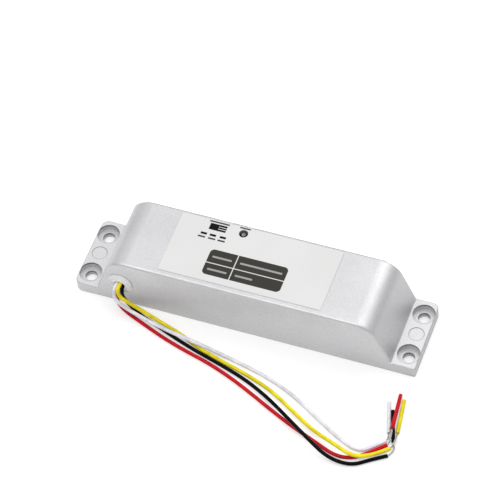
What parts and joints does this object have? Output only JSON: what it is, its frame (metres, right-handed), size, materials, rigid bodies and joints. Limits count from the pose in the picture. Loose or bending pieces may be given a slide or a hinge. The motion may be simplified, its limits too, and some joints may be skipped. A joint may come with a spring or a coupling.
{
  "type": "electric drop bolt lock",
  "caption": "Electric drop bolt lock: a hat-shaped cast housing with end flanges, a cover plate with a round sprung bolt, a solenoid and lever inside, an indicator lamp and loose wire tails.",
  "frame": {"origin": "middle of the mounting face, midway between the four fixing holes", "axes": "+X along the lock, towards the end away from the bolt; +Y out of the bolt side; +Z away from the mounting face"},
  "size_m": [0.153, 0.0829, 0.0271],
  "materials": {
    "housing_metal": "bead blasted",
    "cover_metal": "bead blasted",
    "zinc_steel": "zinc plated",
    "bright_steel": "ground",
    "label_film": "satin film",
    "lamp_lens": "clear moulded",
    "pale_rubber": "translucent",
    "black_plastic": "moulded",
    "white_plastic": "moulded",
    "copper_winding": "enamelled wire",
    "board_laminate": "solder mask",
    "sleeve_plastic": "shrunk sleeve",
    "switch_glass": "clear",
    "lead_insulation": "insulation",
    "pvc_yellow": "insulation",
    "pvc_white": "insulation",
    "pvc_black": "insulation",
    "pvc_red": "insulation",
    "tinned_copper": "tinned strands"
  },
  "bodies": {
    "housing": {"housing": "housing_metal", "cover_plate": "cover_metal", "cover_screws": "zinc_steel", "rating_label": "label_film", "indicator_led": "lamp_lens", "wire_grommet": "pale_rubber", "bolt_guide": "black_plastic", "lever_pivot_pin": "bright_steel", "pivot_clip": "zinc_steel", "solenoid_frame": "zinc_steel", "solenoid_bobbin": "white_plastic", "solenoid_winding": "copper_winding", "solenoid_core": "zinc_steel", "solenoid_screws": "zinc_steel", "plunger_spring": "bright_steel", "circuit_board": "board_laminate", "board_screws": "zinc_steel", "reed_switch": "switch_glass", "flyback_diode": "black_plastic", "control_chip": "black_plastic", "driver_transistor": "black_plastic", "filter_capacitor": "sleeve_plastic", "timer_header": "black_plastic", "timer_jumper": "black_plastic", "lead_connector": "white_plastic", "inner_leads": "lead_insulation", "coil_leads": "lead_insulation", "wire_yellow": "pvc_yellow", "strands_yellow": "tinned_copper", "slug_yellow": "pvc_yellow", "wire_white": "pvc_white", "strands_white": "tinned_copper", "slug_white": "pvc_white", "wire_black": "pvc_black", "strands_black": "tinned_copper", "slug_black": "pvc_black", "wire_red": "pvc_red", "strands_red": "tinned_copper", "slug_red": "pvc_red"},
    "bolt": {"bolt": "bright_steel", "bolt_pin": "bright_steel"},
    "lever": {"lever": "zinc_steel"},
    "plunger": {"plunger": "bright_steel", "plunger_clip": "zinc_steel", "push_fork": "zinc_steel", "fork_pin": "bright_steel"}
  },
  "joints": [
    {"name": "bolt_slide", "type": "slide", "parent": "housing", "child": "bolt", "axis": [0, 1, 0], "range_m": [0, 0.016]},
    {"name": "lever_turn", "type": "hinge", "parent": "housing", "child": "lever", "pos_m": [-0.0237, 0.0015, 0.0133], "axis": [0, 0, 1], "range_deg": [-43.61, 0]},
    {"name": "plunger_slide", "type": "slide", "parent": "housing", "child": "plunger", "axis": [1, 0, 0], "range_m": [-0.0048, 0], "stiffness_N_per_m": 150, "deforming": ["plunger_spring"]}
  ],
  "couplings": [
    {"joint": "lever_turn", "follows": "bolt_slide", "rad_per_m": -47.563},
    {"joint": "plunger_slide", "follows": "bolt_slide", "ratio": -0.3}
  ]
}
